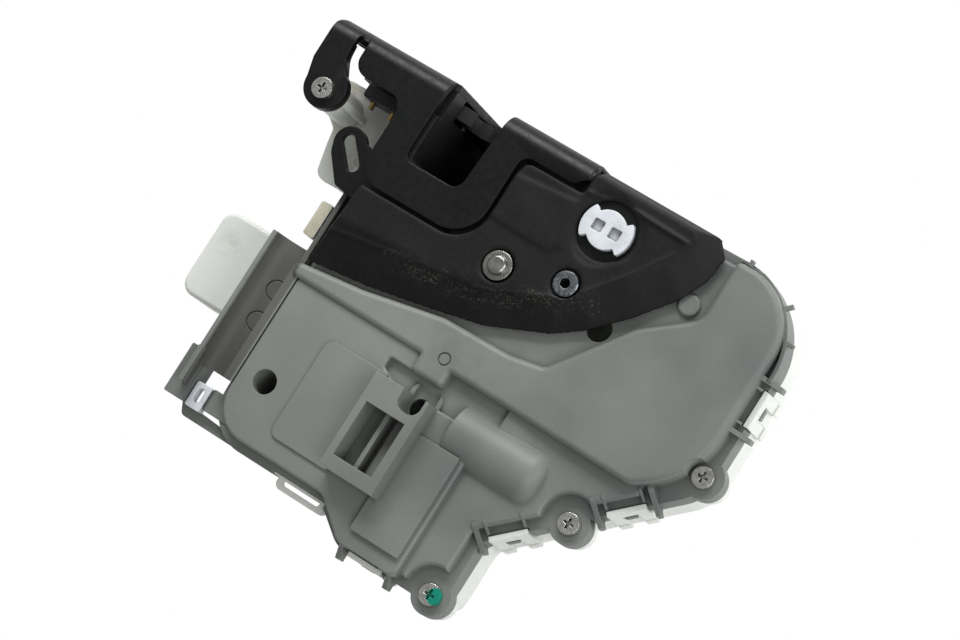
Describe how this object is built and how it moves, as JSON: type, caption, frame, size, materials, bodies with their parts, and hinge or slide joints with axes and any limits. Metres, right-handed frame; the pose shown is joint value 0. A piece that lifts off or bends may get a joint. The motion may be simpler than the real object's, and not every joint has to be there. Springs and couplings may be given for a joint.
{
  "type": "door latch actuator",
  "caption": "Car door latch with claw and pawl behind a bent black steel plate, and a flat grey and white case that holds the lock motor, gears, switches and connector.",
  "frame": {"origin": "axis of the seated striker, on the outer face of the latch plate", "axes": "+X along the latch plate towards the case's far end, +Y the outward normal of the latch plate's face, +Z from the latch towards the inner door panel, normal to the grey cover"},
  "size_m": [0.197, 0.1471, 0.072],
  "materials": {
    "black_coated_steel": "satin black electrocoat on pressed steel",
    "latch_steel": "zinc plated pressed steel",
    "bright_steel": "nickel plated screws and pins",
    "spring_steel": "drawn spring wire",
    "black_plastic": "glass filled nylon, matt black",
    "claw_plastic": "moulded sound-damping band",
    "grey_plastic": "talc filled, mid grey, fine spark texture",
    "white_plastic": "natural acetal, off-white",
    "clear_white_plastic": "natural nylon, slightly translucent",
    "seal_rubber": "soft black rubber",
    "gasket_rubber": "foamed black rubber",
    "brass": "stamped, plain",
    "motor_steel": "drawn and zinc plated motor can"
  },
  "bodies": {
    "frame": {"latch_plate": "black_coated_steel", "cheek_left": "black_coated_steel", "cheek_right": "black_coated_steel", "mouth_sill": "black_coated_steel", "arm_pad": "black_plastic", "claw_pin": "latch_steel", "pawl_pin": "latch_steel", "claw_spring": "spring_steel", "pawl_spring": "spring_steel", "latch_housing": "black_plastic", "striker_box": "black_plastic", "striker_buffer": "seal_rubber", "deck_plate": "black_coated_steel", "deck_posts": "latch_steel", "lever_pin": "bright_steel", "threaded_bush": "bright_steel", "latch_seal": "seal_rubber", "front_cover": "grey_plastic", "rear_case": "white_plastic", "gasket": "gasket_rubber", "cover_screws": "bright_steel", "arm_bolt": "bright_steel", "floor_screw": "bright_steel", "motor_can": "motor_steel", "motor_cap": "black_plastic", "motor_tabs": "brass", "gear_axles": "latch_steel", "latch_switch": "black_plastic", "switch_terminals": "brass", "contact_carrier": "black_plastic", "contact_tracks": "brass", "micro_switch": "black_plastic", "connector_shroud": "white_plastic", "connector_pins": "brass", "cable_clip": "clear_white_plastic", "harness_clip": "clear_white_plastic", "lever_spring": "spring_steel"},
    "claw": {"claw": "latch_steel", "claw_band": "claw_plastic"},
    "pawl": {"pawl": "latch_steel"},
    "release_lever": {"release_lever": "black_coated_steel"},
    "lock_cam": {"lock_cam": "clear_white_plastic"},
    "worm_wheel": {"worm_wheel": "white_plastic"},
    "lock_lever": {"lock_lever": "black_plastic"},
    "worm": {"worm": "latch_steel"}
  },
  "joints": [
    {"name": "claw_turn", "type": "hinge", "parent": "frame", "child": "claw", "pos_m": [-0.0175, -0.006, 0.009], "axis": [0, 1, 0], "range_deg": [0, 78], "stiffness_Nm_per_rad": 0.1, "springref_deg": -20.05},
    {"name": "pawl_lift", "type": "hinge", "parent": "frame", "child": "pawl", "pos_m": [0.021, -0.006, -0.003], "axis": [0, -1, 0], "range_deg": [0, 10], "stiffness_Nm_per_rad": 0.05, "springref_deg": -17.19},
    {"name": "release_swing", "type": "hinge", "parent": "frame", "child": "release_lever", "pos_m": [0.0336, -0.0435, 0.0433], "axis": [0, 0, 1], "range_deg": [0, 12], "stiffness_Nm_per_rad": 0.08, "springref_deg": -17.19},
    {"name": "cam_turn", "type": "hinge", "parent": "frame", "child": "lock_cam", "pos_m": [0.0578, -0.017, 0.04], "axis": [0, 0, 1], "range_deg": [-31.6, 31.6]},
    {"name": "wheel_turn", "type": "hinge", "parent": "frame", "child": "worm_wheel", "pos_m": [0.044, -0.08125, 0.0344], "axis": [0, 0, 1], "range_deg": [-19.7, 19.7]},
    {"name": "lever_turn", "type": "hinge", "parent": "frame", "child": "lock_lever", "pos_m": [0.05814, -0.06711, 0.0295], "axis": [0, 0, 1], "range_deg": [-6.6, 6.6]},
    {"name": "worm_spin", "type": "hinge", "parent": "frame", "child": "worm", "pos_m": [0.044, -0.094, 0.0344], "axis": [1, 0, 0], "range_deg": [-395, 395]}
  ],
  "couplings": [
    {"joint": "pawl_lift", "follows": "release_swing", "ratio": 0.8333},
    {"joint": "worm_spin", "follows": "wheel_turn", "ratio": -20},
    {"joint": "lever_turn", "follows": "wheel_turn", "ratio": -0.33333},
    {"joint": "cam_turn", "follows": "wheel_turn", "ratio": 1.6}
  ]
}
